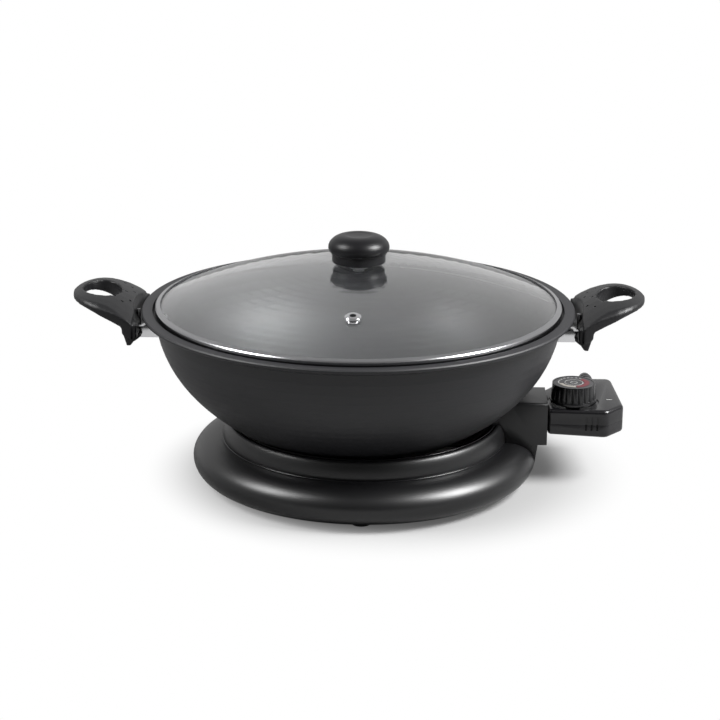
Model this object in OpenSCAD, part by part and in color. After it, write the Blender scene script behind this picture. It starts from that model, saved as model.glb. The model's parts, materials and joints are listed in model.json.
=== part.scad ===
// Electric wok: a deep pan on a two-tier base, a glass lid that lifts off
// and a thermostat control that plugs into a socket block at the side.
// Millimetres, +Z up, origin on the table under the middle of the pan,
// +X towards the thermostat control, front at -Y.

/* [Pan] */
// Radius of the pan's rim
rim_r = 170; // [166:1:176]
// Height of the rim's top face above the table
rim_z = 139; // [136:1:144]
// Thickness of the flat rim band
rim_t = 3; // [2.5:0.5:4]
// Width of the rim's flat top, out from the step that the lid drops into
rim_w = 8.4; // [7.6:0.2:9]
// Depth of the shelf below the rim
shelf_drop = 3.8; // [3.4:0.2:4.6]
// Wall of the cast bowl
bowl_wall = 3.2; // [2.6:0.2:3.8]
// Radius of the bowl's flat bottom
bowl_foot_r = 58; // [56:1:60]
// Height of the bowl's flat bottom above the table
bowl_foot_z = 25; // [24.5:0.5:27]

/* [Lid] */
// Height of the glass dome's top above the pan's rim
dome_rise = 33.5; // [30:0.5:38]
// Thickness of the glass
glass_t = 4; // [3.5:0.5:5]
// Gap between the lid's steel band and the step round it
lid_play = 2.2; // [1.4:0.2:2.8]
// Height of the steel rim band
band_h = 6.8; // [6.4:0.2:7.6]
// Distance of the steam vent from the lid's edge
vent_in = 55; // [40:1:80]
// Outer radius of the vent's flange
vent_r = 6.2; // [5.5:0.1:7]
// Radius of the steam hole
vent_bore = 2.5; // [2:0.1:3]

/* [Knob] */
// Widest radius of the knob's cap
knob_r = 24; // [22:0.5:27]
// Height of the knob's cap
knob_h = 15.4; // [14:0.2:18]
// Radius of the collar under the cap
collar_r = 21; // [18:0.5:21.5]
// Height of the collar
collar_h = 6.2; // [5:0.2:8]

/* [Handles] */
// How far each handle's tip reaches out past the rim
handle_run = 54; // [50:1:60]
// Width of a handle beside the pan
handle_w = 104; // [96:1:110]
// Width of a handle where its round tip starts
handle_tip_w = 86; // [78:1:92]
// Depth of a handle's grip beside the pan, from its crest to its underside
handle_t = 11.6; // [11:0.2:13]
// How steeply the grip's crest leaves the rim, in degrees
handle_tilt = 33.5; // [30:0.5:36]
// How steeply the grip's underside rises, in degrees
handle_under = 22.8; // [20:0.2:24]
// How fast the grip's top levels out, as a drop per square of its length
handle_bend = 0.0109; // [0.009:0.0001:0.012]
// Radius of the grip's crown across
handle_crown = 200; // [160:5:260]
// Least thickness of the grip's side, near its tip
handle_tip_t = 5; // [4:0.5:7]
// Gap between the rim and the handle's curved end
handle_gap = 6; // [5:0.5:8]
// Length of the finger hole, across the handle
finger_l = 38; // [34:1:44]
// Width of the finger hole, along the handle
finger_w = 30; // [26:1:31]
// Width of the steel bracket that carries a handle
bracket_w = 44; // [38:1:46]
// Height of the steel bracket
bracket_h = 9; // [8:0.5:10]
// Sheet thickness of the bracket
bracket_t = 1.5; // [1.2:0.1:2]

/* [Base] */
// How far the base sits off the pan's axis, towards the control
base_shift = 5.3; // [4:0.1:6]
// Widest radius of the base
skirt_r = 137; // [134:1:140]
// Height of the flat ledge between the two tiers
skirt_z = 33.6; // [32:0.2:35]
// Radius of the upper tier's foot
tier_r = 113; // [112:0.5:115]
// Wall of the base moulding
base_wall = 2.6; // [2.2:0.2:3]
// Thickness of the bottom cover
cover_t = 2.6; // [2.2:0.2:3.2]
// Radius of the circle of rubber feet
foot_ring_r = 112; // [108:1:113]
// Radius of a rubber foot
foot_r = 8; // [7:0.5:9]
// Height of a rubber foot
foot_h = 4.6; // [4.4:0.2:6]

/* [Socket block] */
// Width of the socket block
block_w = 44; // [42:1:48]
// Distance of the block's end face from the pan's axis
block_end = 150; // [149:0.5:153]
// Height of the block's top face above the table
block_top = 66.8; // [64:0.2:68]
// Height of the socket's axis above the table
socket_z = 50; // [49.5:0.5:50.5]
// Distance of each terminal pin from the socket's axis
pin_y = 10.5; // [10:0.5:11]
// Radius of a terminal pin
pin_r = 1.95; // [1.8:0.05:2.1]

/* [Thermostat control] */
// Length of the control's casing, out from the block's end face
control_run = 61; // [56:1:64]
// Distance of the control's front face from the socket's axis
control_front = 21; // [20:0.5:22]
// Distance of the control's back face from the socket's axis
control_back = 62; // [56:1:66]
// Height of the control's casing
control_h = 21; // [20:0.5:22]
// Wall of the control's casing
control_wall = 2.2; // [2:0.1:2.6]
// Radius of the casing's rounded edges
control_edge = 3; // [2:0.5:3.5]
// Distance of the dial's axis from the block's end face
dial_in = 21.5; // [20:0.5:24]
// Radius of the dial at its foot
dial_r = 18.4; // [16:0.2:19]
// Height of the dial
dial_h = 15.2; // [12:0.2:17]
// Number of finger flutes round the dial
dial_flutes = 22; // [16:1:28]

/* [Heating] */
// Radius of the heating element's ring
ring_r = 46; // [44:1:48]
// Radius of the element's sheath
sheath_r = 3.3; // [3:0.1:3.6]

/* [Hidden] */

fine = 96;              // round sections of large turned forms
mid = 48;               // round sections of fittings
eps = 0.05;             // overlap of cutting tools
touch = 0.1;            // fit between pieces fixed to each other
seat_gap = 0.3;         // gap between pieces that come apart
curve_n = 22;           // steps along the bowl's side
dome_n = 20;            // steps along the glass dome

black = "#26272a";
soft_black = "#303236";
coating = "#4a4c51";
steel = "#c9ccd1";
ceramic = "#e8e2d2";
brass = "#c8a24a";
clear_glass = [0.82, 0.88, 0.9, 0.35];

// ---- pan ----
shelf_r = rim_r - rim_w;
band_r = shelf_r - lid_play;
vent_reach = band_r - vent_in;
shelf_z = rim_z - shelf_drop;
throat_r = shelf_r - 5;                 // inner edge of the lid's shelf
bowl_top = [throat_r + bowl_wall, shelf_z - bowl_wall];
bowl_pull_low = [bowl_foot_r + 30, bowl_foot_z + 17];
bowl_pull_high = [bowl_top[0] - 8, bowl_top[1] - 66];
floor_z = bowl_foot_z + bowl_wall;

function bez(a, b, c, d, t) =
    pow(1 - t, 3) * a + 3 * pow(1 - t, 2) * t * b
    + 3 * (1 - t) * t * t * c + pow(t, 3) * d;

function bez_dir(a, b, c, d, t) =
    3 * pow(1 - t, 2) * (b - a) + 6 * (1 - t) * t * (c - b) + 3 * t * t * (d - c);

function unit(v) = v / norm(v);

// a point of the bowl's side, moved outwards by g
function bowl_point(t, g) =
    let (p = bez([bowl_foot_r, bowl_foot_z], bowl_pull_low, bowl_pull_high, bowl_top, t),
         d = unit(bez_dir([bowl_foot_r, bowl_foot_z], bowl_pull_low, bowl_pull_high,
                          bowl_top, t)))
    p + g * [d[1], -d[0]];

function bowl_side(g, t0 = 0, t1 = 1) =
    [for (i = [0:curve_n]) bowl_point(t0 + (t1 - t0) * i / curve_n, g)];

function backwards(list) = [for (i = [len(list) - 1:-1:0]) list[i]];

// points on an arc of an ellipse
function arc(c, a, b, from, to, n) =
    [for (i = [0:n]) let (w = from + (to - from) * i / n) c + [a * cos(w), b * sin(w)]];

// the solid that the bowl's outside fills, grown by g
module bowl_body(g) {
    rotate_extrude($fn = fine)
        polygon(concat([[0, bowl_foot_z - g]], bowl_side(g),
                       [[rim_r + g, bowl_top[1]], [rim_r + g, rim_z + 2], [0, rim_z + 2]]));
}

// the space inside the pan
module bowl_room() {
    rotate_extrude($fn = fine)
        polygon(concat([[0, floor_z]], bowl_side(-bowl_wall),
                       [[throat_r, shelf_z], [shelf_r, shelf_z], [shelf_r, rim_z + eps],
                        [0, rim_z + eps]]));
}

boss_r = 6.5;
pan_post_ring = 66;
pan_post_n = 3;
pan_post_turn = 60;
pan_boss_z = bowl_foot_z - 4;
ring_seat_h = 3.5;
ring_seat_w = 12;
element_z = bowl_foot_z - ring_seat_h;
leg_turn = asin(pin_y / ring_r);
leg_start = ring_r * cos(leg_turn);
leg_r = sheath_r + 0.25;
leg_bend_r = 8;
leg_top_x = block_end - 36;             // where the legs level out at the socket
leg_rise = socket_z - element_z - 2 * leg_bend_r * (1 - cos(45));
leg_slope = leg_rise / sin(45);
leg_low_x = leg_top_x - leg_rise - 2 * leg_bend_r * sin(45);
leg_end = block_end - 28;
lap = 0.3;                              // how far a leg's straight runs into its bends
lap_step = 0.03;                        // the bends swell by this much
probe_r = 3.4;
probe_boss_r = 7;
probe_boss_end = block_end - 33;
probe_tip = probe_boss_end - 10;

module at_pan_posts() {
    for (k = [0:pan_post_n - 1])
        rotate(pan_post_turn + k * 360 / pan_post_n) translate([pan_post_ring, 0, 0]) children();
}

module along_x(r, from, to, y = 0, z = 0, n = mid) {
    translate([from, y, z]) rotate([0, 90, 0]) cylinder(r = r, h = to - from, $fn = n);
}

// the element's ring and its two thicker cold legs, all grown by g
module element_path(g) {
    translate([0, 0, element_z]) rotate(leg_turn)
        rotate_extrude(angle = 360 - 2 * leg_turn, $fn = fine)
            translate([ring_r, 0]) circle(r = sheath_r + g, $fn = 24);
    for (s = [-1, 1]) translate([0, s * pin_y, 0]) {
        along_x(leg_r + g, leg_start - leg_r - 0.5 - g, leg_low_x + lap, 0, element_z, 24);
        leg_bend([leg_low_x, element_z + leg_bend_r], -90, leg_r + lap_step + g);
        translate([leg_low_x + leg_bend_r * sin(45), 0, element_z + leg_bend_r * (1 - cos(45))])
            rotate([0, 45, 0]) translate([0, 0, -lap])
                cylinder(r = leg_r + g, h = leg_slope + 2 * lap, $fn = 24);
        leg_bend([leg_top_x, socket_z - leg_bend_r], 90, leg_r + lap_step + g);
        along_x(leg_r + g, leg_top_x - lap, leg_end + g, 0, socket_z, 24);
    }
}

// eighth of a turn in the leg, about a centre given as x and z
module leg_bend(centre, from, r) {
    translate([centre[0], 0, centre[1]]) rotate([90, 0, 0]) rotate(from)
        rotate_extrude(angle = 45, $fn = fine) translate([leg_bend_r, 0]) circle(r = r, $fn = 24);
}

rivet_r = 2;
rivet_y = 12;
bracket_top = rim_z - 12.5;
rivet_z = bracket_top - 5;

module pan() {
    color(coating) difference() {
        union() {
            rotate_extrude($fn = fine)
                polygon(concat([[0, bowl_foot_z]], bowl_side(0),
                               [[shelf_r + 2, shelf_z - 1.4], [shelf_r + 2, rim_z - rim_t],
                                [rim_r - 0.8, rim_z - rim_t], [rim_r, rim_z - rim_t + 0.8],
                                [rim_r, rim_z - 0.8], [rim_r - 0.8, rim_z], [0, rim_z]]));
            translate([0, 0, bowl_foot_z - ring_seat_h]) difference() {
                cylinder(r = ring_r + ring_seat_w / 2, h = ring_seat_h + 1, $fn = fine);
                translate([0, 0, -eps])
                    cylinder(r = ring_r - ring_seat_w / 2, h = ring_seat_h + eps, $fn = fine);
            }
            at_pan_posts() translate([0, 0, pan_boss_z]) cylinder(r = boss_r, h = 14, $fn = mid);
            along_x(probe_boss_r, probe_boss_end - 20, probe_boss_end, 0, socket_z);
        }
        bowl_room();
        element_path(touch);
        along_x(probe_r + seat_gap, probe_tip - 1, probe_boss_end + eps, 0, socket_z);
        at_pan_posts() translate([0, 0, pan_boss_z - eps]) cylinder(r = 2.05, h = 6, $fn = mid);
        for (s = [0, 1]) rotate(180 * s) {
            rivet_bores(rivet_r + touch);
            inner_heads(touch);
        }
    }
}

module rivet_bores(r) {
    for (s = [-1, 1]) along_x(r, throat_r - 12, throat_r + 12, s * rivet_y, rivet_z, 24);
}

// ---- heating ----
module heating_element() {
    color("#8d8f92") element_path(0);
}

insulator_r = leg_r;
insulator_l = 4;
pin_end = block_end - 8;

module pin_insulators() {
    color(ceramic) for (s = [-1, 1]) difference() {
        along_x(insulator_r, leg_end, leg_end + insulator_l, s * pin_y, socket_z, 24);
        along_x(pin_r + 0.02, leg_end - eps, leg_end + insulator_l + eps, s * pin_y, socket_z, 24);
    }
}

module terminal_pins() {
    color(brass) for (s = [-1, 1]) {
        along_x(pin_r, leg_end, pin_end - pin_r, s * pin_y, socket_z, 24);
        translate([pin_end - pin_r, s * pin_y, socket_z]) sphere(r = pin_r, $fn = 24);
    }
}

plate_t = 1.5;
plate_w = 32;
plate_h = 15;

// steel plate that ties the element's legs to the cast boss
module terminal_plate() {
    color(steel) difference() {
        translate([probe_boss_end, -plate_w / 2, socket_z - plate_h / 2])
            cube([plate_t, plate_w, plate_h]);
        for (s = [-1, 1])
            along_x(leg_r + touch, probe_boss_end - eps, leg_end, s * pin_y, socket_z, 24);
        along_x(probe_r + seat_gap, probe_boss_end - eps, leg_end, 0, socket_z, 24);
    }
}

// ---- handles ----
handle_in = rim_r + handle_gap;         // radius of the handle's curved end
handle_reach = rim_r + handle_run;
handle_low = rim_z + 4.2;               // height of the grip's crest beside the rim
tip_l = 30;                             // length of the round tip
tip_power = 2;                          // how full the tip's curve is, 2 for an ellipse
tip_start = handle_reach - tip_l;
hole_x = handle_reach - 22.5;           // middle of the finger hole
hole_flare = 1.25;                      // how much wider the hole's funnel gets
grip_n = 12;                            // sections along the grip
grip_root = 14;                         // how far the grip starts inside its curved end
edge_round = 4;
funnel_d = 6;                           // depth of the finger hole's widening
bracket_in = handle_in - 28;
bracket_out = handle_in + 1.5;
foot_w = bracket_w + 8;
foot_low = bracket_top - bracket_h - 3;
under_rim_r = rim_r + 0.6;              // the end wall's radius at the foot's chamfer
under_rim_z = foot_low + 6.5;
screw_x = handle_in - 2.4;

// half the grip's width at a distance u from the pan's axis
function grip_w(u) =
    u < tip_start
        ? handle_w / 2 - (handle_w - handle_tip_w) / 2 * (u - handle_in) / (tip_start - handle_in)
        : handle_tip_w / 2 * pow(max(0, 1 - pow((u - tip_start) / tip_l, tip_power)), 1 / tip_power);

// height of the grip's crest there, which rises from the rim and levels out
function grip_z(u) =
    handle_low + (u - handle_in) * tan(handle_tilt) - handle_bend * pow(u - handle_in, 2);

// how far the crowned top falls from the crest at a distance y from the middle
function crown_drop(y) = y * y / (2 * handle_crown);

// the grip's section at u, arched on top and rounded at its edges
function grip_section(u) =
    let (w = grip_w(u), r = min(edge_round, 0.6 * w + 0.2), top = grip_z(u),
         side = crown_drop(w),
         low = min(handle_low - handle_t + (u - handle_in) * tan(handle_under),
                   top - side - handle_tip_t))
    concat([for (f = [-1:0.25:1]) let (y = f * (w - r)) [-y, top - crown_drop(y)]],
           [for (a = [30:30:90])
               [-(w - r) - r * sin(a), top - side - r + r * cos(a)]],
           [[-w + r / 3, low], [w - r / 3, low]],
           [for (a = [90:-30:30]) [w - r + r * sin(a), top - side - r + r * cos(a)]]);

module grip() {
    hull() for (f = [0:1 / grip_n:1]) {
        u = handle_in - grip_root + (handle_reach - 0.1 - handle_in + grip_root) * sin(90 * f);
        translate([u, 0, 0]) rotate([90, 0, 90]) linear_extrude(height = 0.1)
            polygon(grip_section(u));
    }
}

function hole_oval(f) = arc([0, 0], f * finger_w / 2, f * finger_l / 2, 0, 350, 35);

// upright funnel for the fingers, wider on top
module finger_hole() {
    narrow = 1 / hole_flare;
    translate([hole_x, 0, grip_z(hole_x) - 3]) {
        linear_extrude(height = 2 * handle_t) polygon(hole_oval(1));
        translate([0, 0, -funnel_d])
            linear_extrude(height = funnel_d + eps, scale = hole_flare) polygon(hole_oval(narrow));
        translate([0, 0, -3 * handle_t])
            linear_extrude(height = 3 * handle_t - funnel_d + eps) polygon(hole_oval(narrow));
    }
}

// wedge under the grip that takes the bracket, as x and z
foot_side = [
    [under_rim_r - 4, under_rim_z], [handle_in - 2, foot_low + 0.6],
    [handle_in - 0.4, foot_low], [handle_in + 1.2, foot_low + 1.2],
    [handle_in + 6, foot_low + 14], [handle_in + 7, handle_low - 4],
    [under_rim_r - 4, handle_low - 4]
];

module handle_body() {
    difference() {
        union() {
            grip();
            translate([0, foot_w / 2, 0]) rotate([90, 0, 0])
                linear_extrude(height = foot_w) polygon(foot_side);
        }
        // end wall, curved round the pan and leaning in under its rim
        rotate_extrude($fn = fine)
            polygon([[0, foot_low - 9], [under_rim_r, foot_low - 9], [under_rim_r, under_rim_z],
                     [handle_in, rim_z - rim_t - 1], [handle_in, rim_z + 30], [0, rim_z + 30]]);
        finger_hole();
        translate([bracket_in, -bracket_w / 2 - touch, bracket_top - bracket_h - touch])
            cube([bracket_out - bracket_in + touch, bracket_w + 2 * touch,
                  bracket_h + 2 * touch]);
        translate([screw_x, 0, foot_low - 1]) cylinder(r = screw_head_r + 0.3, h = 8, $fn = 24);
        translate([screw_x, 0, bracket_top - 1])
            cylinder(r = screw_shank_r + touch, h = screw_bite + 1.5, $fn = 24);
    }
}

screw_head_r = 2.6;
screw_shank_r = 1.5;
screw_bite = 8;                         // how far the screw reaches into the grip

module handle_left() { color(soft_black) mirror([1, 0, 0]) handle_body(); }
module handle_right() { color(soft_black) handle_body(); }

// screw up through the bracket's web into the grip
module handle_screw() {
    translate([screw_x, 0, bracket_top - bracket_t - 2.2])
        cylinder(r = screw_head_r, h = 2.1, $fn = 24);
    translate([screw_x, 0, bracket_top - bracket_t - 0.2])
        cylinder(r = screw_shank_r, h = bracket_t + screw_bite, $fn = 24);
}

module handle_screw_left() { color(steel) mirror([1, 0, 0]) handle_screw(); }
module handle_screw_right() { color(steel) handle_screw(); }

// channel of bent sheet, riveted to the pan by a curved foot
module bracket_body() {
    difference() {
        union() {
            difference() {
                translate([bracket_in, -bracket_w / 2, bracket_top - bracket_h])
                    cube([bracket_out - bracket_in, bracket_w, bracket_h]);
                translate([bracket_in - 1, -bracket_w / 2 + bracket_t,
                           bracket_top - bracket_h - eps])
                    cube([bracket_out - bracket_in + 2, bracket_w - 2 * bracket_t,
                          bracket_h - bracket_t + eps]);
            }
            intersection() {
                bowl_body(bracket_t + touch);
                translate([bracket_in, -bracket_w / 2, bracket_top - bracket_h + 0.5])
                    cube([20, bracket_w, bracket_h - 0.5]);
            }
        }
        bowl_body(touch);
        translate([screw_x, 0, bracket_top - bracket_h - eps])
            cylinder(r = screw_shank_r + touch, h = bracket_h + 1, $fn = mid);
        rivet_bores(rivet_r + touch);
    }
}

module bracket_left() { color(steel) rotate(180) bracket_body(); }
module bracket_right() { color(steel) bracket_body(); }

rivet_t = min([for (i = [0:curve_n])
    bowl_point(i / curve_n, 0)[1] > rivet_z ? i / curve_n : 1]);
rivet_wall_x = bowl_point(rivet_t, 0)[0];

module rivets() {
    for (s = [-1, 1]) {
        wall_x = sqrt(pow(rivet_wall_x, 2) - pow(rivet_y, 2));
        along_x(rivet_r, wall_x - bowl_wall - 0.6, wall_x + bracket_t + 1.2,
                s * rivet_y, rivet_z, 24);
        along_x(rivet_head_r, wall_x + bracket_t + 1.2, wall_x + bracket_t + 2.8, s * rivet_y,
                rivet_z, 24);
    }
    inner_heads(0);
}

rivet_head_r = 3.4;
inner_head_x = sqrt(pow(rivet_wall_x, 2) - pow(rivet_y, 2)) - bowl_wall - 0.6;

// flat heads let into the inside of the pan's wall
module inner_heads(g) {
    for (s = [-1, 1])
        along_x(rivet_head_r + g, inner_head_x - 1.4 - 20 * g, inner_head_x + g, s * rivet_y,
                rivet_z, 24);
}

module bracket_rivets_left() { color(steel) rotate(180) rivets(); }
module bracket_rivets_right() { color(steel) rivets(); }

// ---- base ----
skirt_wide_z = 18;                      // height of the widest line
skirt_foot = [skirt_r - 12, foot_h - 0.4];
tier_top = 15.4;                        // rise of the upper tier
tier_w = 5.5;                           // width of the upper tier's shoulder
tier_mid_r = tier_r - tier_w + 0.5;
notch_x = block_end - 64;
cover_z = foot_h;
cover_r = skirt_foot[0] - base_wall - 0.5;
cover_screw_ring = 114;
cover_boss_r = 4.5;
notch_w = 34;

// the base's two-tier outline, drawn in by g
function base_outline(g) = concat(
    [[skirt_foot[0] - g, skirt_foot[1]]],
    arc([skirt_foot[0] - 2, skirt_wide_z], 14 - g, skirt_wide_z - skirt_foot[1] - g, -72, 0, 8),
    arc([tier_r + 1, skirt_wide_z], skirt_r - tier_r - 1 - g, skirt_z - skirt_wide_z - g,
        6, 90, 14),
    [[tier_r + (g > 0 ? -g : 0), skirt_z - g]],
    arc([tier_mid_r, skirt_z - 0.4], tier_w - g, tier_top - g, 4, 98, 12));

module base_solid(g) {
    outline = base_outline(g);
    last = outline[len(outline) - 1];
    translate([base_shift, 0, 0]) rotate_extrude($fn = fine)
        polygon(concat([[0, skirt_foot[1] + (g > 0 ? -1 : 0)],
                        [outline[0][0], skirt_foot[1] + (g > 0 ? -1 : 0)]],
                       outline, [[last[0] - 0.5, last[1] - 1], [0, last[1] - 1]]));
}

module at_base_ring(r, from) {
    for (k = [0:3]) translate([base_shift, 0, 0]) rotate(from + 90 * k)
        translate([r, 0, 0]) children();
}

module base_shell() {
    outer = base_outline(0);
    inner = base_outline(base_wall);
    color(black) difference() {
        union() {
            translate([base_shift, 0, 0]) rotate_extrude($fn = fine)
                polygon(concat(outer, backwards(inner)));
            intersection() {
                at_base_ring(cover_screw_ring, 45) translate([0, 0, cover_z + cover_t])
                    cylinder(r = cover_boss_r, h = 40, $fn = mid);
                base_solid(base_wall / 2);
            }
        }
        at_base_ring(cover_screw_ring, 45) translate([0, 0, cover_z])
            cylinder(r = 1.65, h = 14, $fn = 24);
        translate([notch_x, -notch_w / 2, skirt_z + 1.5])
            cube([base_shift + tier_r + 2 - notch_x, notch_w, tier_top + 5]);
        translate([notch_x, -notch_w / 2, skirt_z - 6]) cube([22, notch_w, tier_top + 5]);
        socket_screw_bores(1.7);
    }
}

post_r = 6;
post_shoulder_z = 10;
shield_t = 0.8;
shield_r = 84;

module bottom_cover() {
    color(black) difference() {
        union() {
            translate([base_shift, 0, cover_z]) cylinder(r = cover_r, h = cover_t, $fn = fine);
            at_pan_posts() {
                translate([0, 0, cover_z]) cylinder(r = post_r, h = pan_boss_z - cover_z, $fn = mid);
                translate([0, 0, cover_z])
                    cylinder(r = post_r + 2, h = post_shoulder_z - cover_z, $fn = mid);
            }
        }
        at_pan_posts() {
            translate([0, 0, cover_z - eps]) cylinder(r = 3.9, h = 5, $fn = mid);
            translate([0, 0, cover_z]) cylinder(r = 2.1, h = 40, $fn = mid);
        }
        at_base_ring(cover_screw_ring, 45) translate([0, 0, cover_z - eps]) {
            cylinder(r = 1.8, h = cover_t + 1, $fn = 24);
            cylinder(r = 3.5, h = 1.6, $fn = 24);
        }
        at_base_ring(foot_ring_r, 0) translate([0, 0, cover_z - eps])
            cylinder(r = 3 + touch, h = cover_t + 1, $fn = 24);
        // cooling slots
        for (k = [0:11]) translate([base_shift, 0, cover_z - eps]) rotate(15 + 30 * k)
            translate([86, -2, 0]) cube([16, 4, cover_t + 1]);
    }
}

// thin dish that keeps the heat off the bottom cover
module heat_shield() {
    color(steel) difference() {
        rotate_extrude($fn = fine)
            polygon([[0, post_shoulder_z], [shield_r, post_shoulder_z],
                     [shield_r + 3, post_shoulder_z + 5], [shield_r + 3 - shield_t,
                     post_shoulder_z + 5], [shield_r - shield_t / 2, post_shoulder_z + shield_t],
                     [0, post_shoulder_z + shield_t]]);
        at_pan_posts() translate([0, 0, post_shoulder_z - 1])
            cylinder(r = post_r + touch, h = 4, $fn = mid);
    }
}

module pan_screws() {
    color(steel) at_pan_posts() {
        translate([0, 0, cover_z + 2.4]) cylinder(r = 3.6, h = 2.5, $fn = 24);
        translate([0, 0, cover_z + 4.9]) cylinder(r = 2, h = 16, $fn = 24);
    }
}

module cover_screws() {
    color(steel) at_base_ring(cover_screw_ring, 45) {
        translate([0, 0, cover_z]) cylinder(r = 3.3, h = 1.5, $fn = 24);
        translate([0, 0, cover_z + 1.5]) cylinder(r = 1.6, h = 9, $fn = 24);
    }
}

module foot_at(turn) {
    color("#1b1b1c") translate([base_shift, 0, 0]) rotate(turn) translate([foot_ring_r, 0, 0]) {
        rotate_extrude($fn = mid)
            polygon([[0, 0], [foot_r - 0.8, 0], [foot_r, 0.8], [foot_r, foot_h - 0.6],
                     [foot_r - 0.6, foot_h], [3, foot_h], [3, foot_h + cover_t],
                     [3.7, foot_h + cover_t + 0.2], [2.4, foot_h + cover_t + 2.4],
                     [0, foot_h + cover_t + 2.4]]);
    }
}

module foot_front() { foot_at(-90); }
module foot_back() { foot_at(90); }
module foot_left() { foot_at(180); }
module foot_right() { foot_at(0); }

// ---- socket block ----
block_in = block_end - 54;              // where the block starts, inside the upper tier
block_step_x = block_end - 7;           // where the block's underside steps down
block_step_z = 32.2;
block_low_z = 17;                       // where the block's foot ends on the skirt
room_w = 35;
room_low = socket_z - 10;
room_high = socket_z + 11;
mouth_gap = 0.7;
nose_w = 31;
nose_h = 18;
nose_in = block_end - 22;
end_wall = 3;
edge_r = 2.5;
block_fit = 0.15;                       // fit of the block against the base

socket_screw_x = base_shift + tier_r + 5;
socket_screw_y = 10;
socket_seat_z = skirt_z - base_wall - 0.8;   // where the screws' heads bear under the ledge

module socket_screw_bores(r) {
    for (s = [-1, 1]) translate([socket_screw_x, s * socket_screw_y, socket_seat_z - 3])
        cylinder(r = r, h = 12, $fn = 24);
}

// box along X with its two top edges rounded
module block_bar(x0, x1, w, z0, z1, r) {
    translate([x0, 0, 0]) rotate([90, 0, 90]) linear_extrude(height = x1 - x0)
        polygon(concat([[-w / 2, z0], [w / 2, z0]],
                       arc([w / 2 - r, z1 - r], r, r, 0, 90, 6),
                       arc([-w / 2 + r, z1 - r], r, r, 90, 180, 6)));
}

module socket_block() {
    color(black) difference() {
        union() {
            block_bar(block_in, block_end, block_w, block_step_z, block_top, edge_r);
            translate([0, block_w / 2, 0]) rotate([90, 0, 0]) linear_extrude(height = block_w)
                polygon([[block_in, block_low_z], [base_shift + skirt_r - 1.6, block_low_z],
                         [block_step_x, block_step_z + 1], [block_in, block_step_z + 1]]);
        }
        base_solid(-block_fit);
        bowl_body(1.6);
        block_bar(block_in - 1, block_end - end_wall, room_w, room_low, room_high, 1);
        block_bar(nose_in - 4, block_end + 1, nose_w + 2 * mouth_gap,
                  socket_z + 1 - nose_h / 2 - mouth_gap, socket_z + 1 + nose_h / 2 + mouth_gap, 2);
        socket_screw_bores(1.3 + touch);
    }
}

module socket_screws() {
    color(steel) for (s = [-1, 1])
        translate([socket_screw_x, s * socket_screw_y, socket_seat_z]) {
            cylinder(r = 1.3, h = 8.6, $fn = 24);
            translate([0, 0, -1.6]) cylinder(r = 2.8, h = 1.65, $fn = 24);
        }
}

// ---- lid ----
band_t = 1;
band_low = shelf_z + seat_gap;
band_top = band_low + band_h;
glass_r = band_r - band_t - 0.4;
glass_edge_z = band_top - band_t - touch;    // top of the glass at its edge
dome_top = rim_z + dome_rise;
dome_sag = dome_top - glass_edge_z;
dome_r = (glass_r * glass_r + dome_sag * dome_sag) / (2 * dome_sag);
function dome_z(r, drop = 0) =
    dome_top - dome_r + sqrt(pow(dome_r - drop, 2) - r * r);
vent_x = -1.8;
vent_y = -sqrt(vent_reach * vent_reach - vent_x * vent_x);
vent_tilt = asin(vent_reach / dome_r);
vent_turn = atan2(vent_y, vent_x);
glass_hole = 4.2;
knob_hole = 3.4;

// places a fitting square to the dome at the vent
module at_vent() {
    translate([vent_x, vent_y, dome_z(vent_reach)]) rotate([0, vent_tilt, vent_turn]) children();
}

module lid_glass() {
    color(clear_glass) difference() {
        rotate_extrude($fn = fine)
            polygon(concat([for (i = [0:dome_n]) let (r = glass_r * i / dome_n) [r, dome_z(r)]],
                           [for (i = [dome_n:-1:0]) let (r = (glass_r - 0.5) * i / dome_n)
                               [r, dome_z(r, glass_t)]]));
        translate([0, 0, dome_top - 20]) cylinder(r = knob_hole, h = 40, $fn = mid);
        at_vent() translate([0, 0, -10]) cylinder(r = glass_hole, h = 20, $fn = mid);
    }
}

// U-section steel band round the glass
module lid_band() {
    lip = 4;
    color(steel) rotate_extrude($fn = fine)
        polygon([[band_r - lip, band_low], [band_r - 0.6, band_low], [band_r, band_low + 0.6],
                 [band_r, band_top - 0.8], [band_r - 0.8, band_top],
                 [band_r - lip, dome_z(band_r - lip) + touch + band_t],
                 [band_r - lip, dome_z(band_r - lip) + touch],
                 [band_r - band_t, band_top - band_t], [band_r - band_t, band_low + band_t],
                 [band_r - lip, band_low + band_t]]);
}

module vent_eyelet() {
    color(steel) at_vent() difference() {
        rotate_extrude($fn = mid)
            polygon([[0, -glass_t - 1.6], [vent_r - 1, -glass_t - 1.6], [vent_r - 1, -glass_t - 0.5],
                     [glass_hole - touch, -glass_t - 0.5], [glass_hole - touch, 0.4],
                     [vent_r, 0.4], [vent_r, 0.9], [vent_r - 1.2, 1.7], [vent_bore + 1, 1.9],
                     [0, 1.9]]);
        translate([0, 0, -10]) cylinder(r = vent_bore, h = 20, $fn = mid);
    }
}

gasket_t = 2.2;
collar_z = dome_top + gasket_t;
cap_z = collar_z + collar_h;
cap_top = cap_z + knob_h;
screw_r = 2.5;

module knob_gasket() {
    color("#3a3a3a") difference() {
        translate([0, 0, dome_top]) cylinder(r = 9, h = gasket_t, $fn = mid);
        translate([0, 0, dome_top - 1]) cylinder(r = screw_r + touch, h = gasket_t + 2, $fn = mid);
    }
}

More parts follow.
